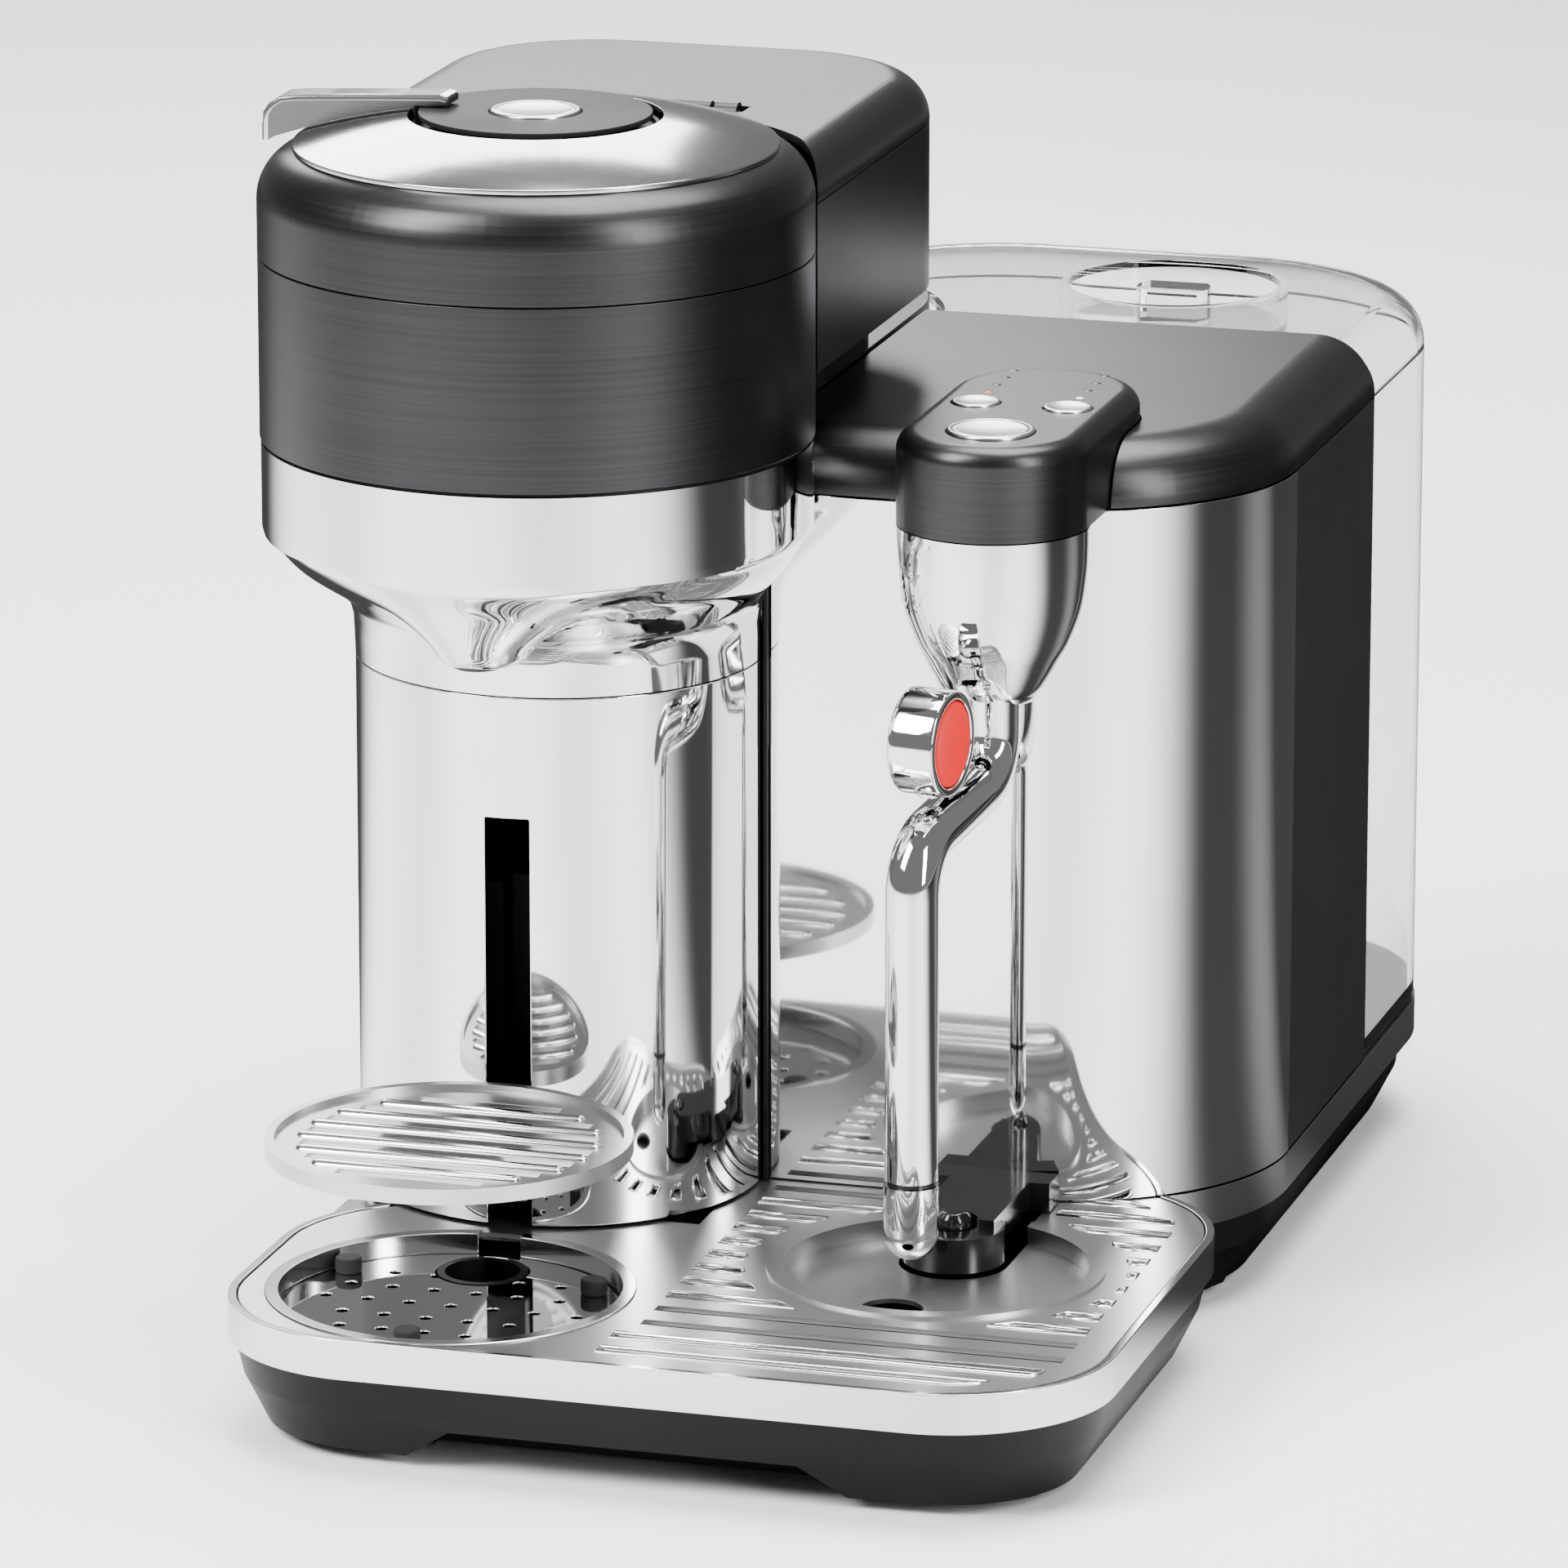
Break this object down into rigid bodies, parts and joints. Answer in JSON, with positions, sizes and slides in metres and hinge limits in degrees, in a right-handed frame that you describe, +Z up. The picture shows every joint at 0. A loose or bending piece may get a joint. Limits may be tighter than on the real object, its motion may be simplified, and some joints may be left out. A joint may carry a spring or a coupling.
{
  "type": "pod coffee machine",
  "caption": "Pod coffee machine: round brew head with tilting lid, chrome column and cup stand, steam tube with jug dish, wide drip tray and clear rear water tank.",
  "frame": {"origin": "centre of the footprint at floor level", "axes": "+Z up, front towards -Y, +X to the right seen from the front"},
  "size_m": [0.245, 0.421, 0.3225],
  "materials": {
    "black_plastic": "matte black",
    "rubber": "matte",
    "polished_steel": "polished",
    "chrome": "mirror polished",
    "brushed_steel": "brushed",
    "dark_brushed": "dark brushed",
    "dark_panel": "satin dark grey",
    "button_steel": "polished with a soft edge",
    "dark_probe": "satin black",
    "clear_tank": "clear",
    "red_insert": "glossy red",
    "lamp": "glossy light window",
    "motor_metal": "satin",
    "boiler_metal": "satin",
    "board": "circuit board green"
  },
  "bodies": {
    "base": {"base_shell": "black_plastic", "base_feet": "rubber", "base_band": "polished_steel", "front_panel": "chrome", "side_panel": "dark_brushed", "body_cover": "dark_brushed", "unit_frame": "black_plastic", "tower_shell": "dark_brushed", "funnel": "chrome", "drum": "dark_brushed", "brew_chamber": "black_plastic", "spin_motor": "motor_metal", "drive_belt": "rubber", "neck": "black_plastic", "arm_body": "dark_brushed", "arm_cover": "dark_brushed", "hinge_pin": "brushed_steel", "steam_head": "dark_brushed", "level_lights": "lamp", "steam_funnel": "chrome", "wand_socket": "black_plastic", "probe_bridge": "black_plastic", "tank_seat": "black_plastic", "pump": "motor_metal", "steam_boiler": "boiler_metal", "brew_heater": "motor_metal", "control_board": "board"},
    "tray": {"tray_tub": "black_plastic", "tray_rubber": "rubber", "tray_band": "polished_steel", "tray_grille": "brushed_steel", "recess_wall": "polished_steel"},
    "drip_disc": {"recess_disc": "chrome", "recess_bumps": "rubber"},
    "container": {"container_front": "chrome", "container_bin": "black_plastic"},
    "stand": {"stand_plate": "brushed_steel", "stand_arm": "black_plastic"},
    "lid": {"lid_ring": "dark_brushed", "lid_floor": "black_plastic", "dome": "polished_steel", "top_panel": "dark_panel", "pierce_plate": "brushed_steel"},
    "start_key": {"start_button": "button_steel"},
    "lever_body": {"lever": "polished_steel", "lever_hub": "black_plastic"},
    "holder": {"capsule_holder": "dark_probe"},
    "rotor": {"motor_rotor": "brushed_steel"},
    "tank": {"tank_shell": "clear_tank"},
    "tank_cover": {"tank_lid": "clear_tank"},
    "poppet": {"valve_poppet": "rubber"},
    "wand": {"wand_tube": "polished_steel", "wand_ring": "black_plastic", "wand_tip": "polished_steel", "knob_body": "polished_steel", "knob_insert": "red_insert"},
    "steam_key": {"steam_button": "button_steel"},
    "temperature_key": {"temperature_button": "button_steel"},
    "texture_key": {"texture_button": "button_steel"},
    "probe": {"milk_probe": "dark_probe"}
  },
  "joints": [
    {"name": "lid_hinge", "type": "hinge", "parent": "base", "child": "lid", "pos_m": [-0.0516, -0.0115, 0.3055], "axis": [-1, 0, 0], "range_deg": [0, 60]},
    {"name": "lever_turn", "type": "hinge", "parent": "lid", "child": "lever_body", "pos_m": [-0.0516, -0.0855, 0.31], "axis": [0, 0, 1], "range_deg": [0, 40]},
    {"name": "start_press", "type": "slide", "parent": "lid", "child": "start_key", "axis": [0, 0, -1], "range_m": [0, 0.0015], "stiffness_N_per_m": 500, "springref_m": -0.001},
    {"name": "holder_spin", "type": "hinge", "parent": "base", "child": "holder", "pos_m": [-0.0516, -0.0855, 0.26], "axis": [0, 0, 1], "continuous": true},
    {"name": "motor_spin", "type": "hinge", "parent": "base", "child": "rotor", "pos_m": [-0.0516, 0.0265, 0.22], "axis": [0, 0, 1], "continuous": true},
    {"name": "container_slide", "type": "slide", "parent": "base", "child": "container", "axis": [0, -1, 0], "range_m": [0, 0.125]},
    {"name": "stand_height", "type": "slide", "parent": "container", "child": "stand", "axis": [0, 0, 1], "range_m": [0, 0.05]},
    {"name": "tray_slide", "type": "slide", "parent": "base", "child": "tray", "axis": [0, -1, 0], "range_m": [0, 0.15]},
    {"name": "disc_lift", "type": "slide", "parent": "tray", "child": "drip_disc", "axis": [0, 0, 1], "range_m": [0, 0.02]},
    {"name": "tank_lift", "type": "slide", "parent": "base", "child": "tank", "axis": [0, 0, 1], "range_m": [0, 0.12]},
    {"name": "tank_lid_lift", "type": "slide", "parent": "tank", "child": "tank_cover", "axis": [0, 0, 1], "range_m": [0, 0.06]},
    {"name": "valve_press", "type": "slide", "parent": "tank", "child": "poppet", "axis": [0, 0, 1], "range_m": [0, 0.0025], "stiffness_N_per_m": 300, "springref_m": -0.001},
    {"name": "wand_lift", "type": "hinge", "parent": "base", "child": "wand", "pos_m": [0.0625, -0.0655, 0.176], "axis": [-1, 0, 0], "range_deg": [0, 20]},
    {"name": "steam_press", "type": "slide", "parent": "base", "child": "steam_key", "axis": [0, 0, -1], "range_m": [0, 0.0015], "stiffness_N_per_m": 500, "springref_m": -0.001},
    {"name": "temperature_press", "type": "slide", "parent": "base", "child": "temperature_key", "axis": [0, 0, -1], "range_m": [0, 0.0012], "stiffness_N_per_m": 500, "springref_m": -0.001},
    {"name": "texture_press", "type": "slide", "parent": "base", "child": "texture_key", "axis": [0, 0, -1], "range_m": [0, 0.0012], "stiffness_N_per_m": 500, "springref_m": -0.001},
    {"name": "probe_press", "type": "slide", "parent": "base", "child": "probe", "axis": [0, 0, -1], "range_m": [0, 0.002], "stiffness_N_per_m": 500, "springref_m": -0.001}
  ],
  "couplings": [
    {"joint": "motor_spin", "follows": "holder_spin", "ratio": 2}
  ]
}
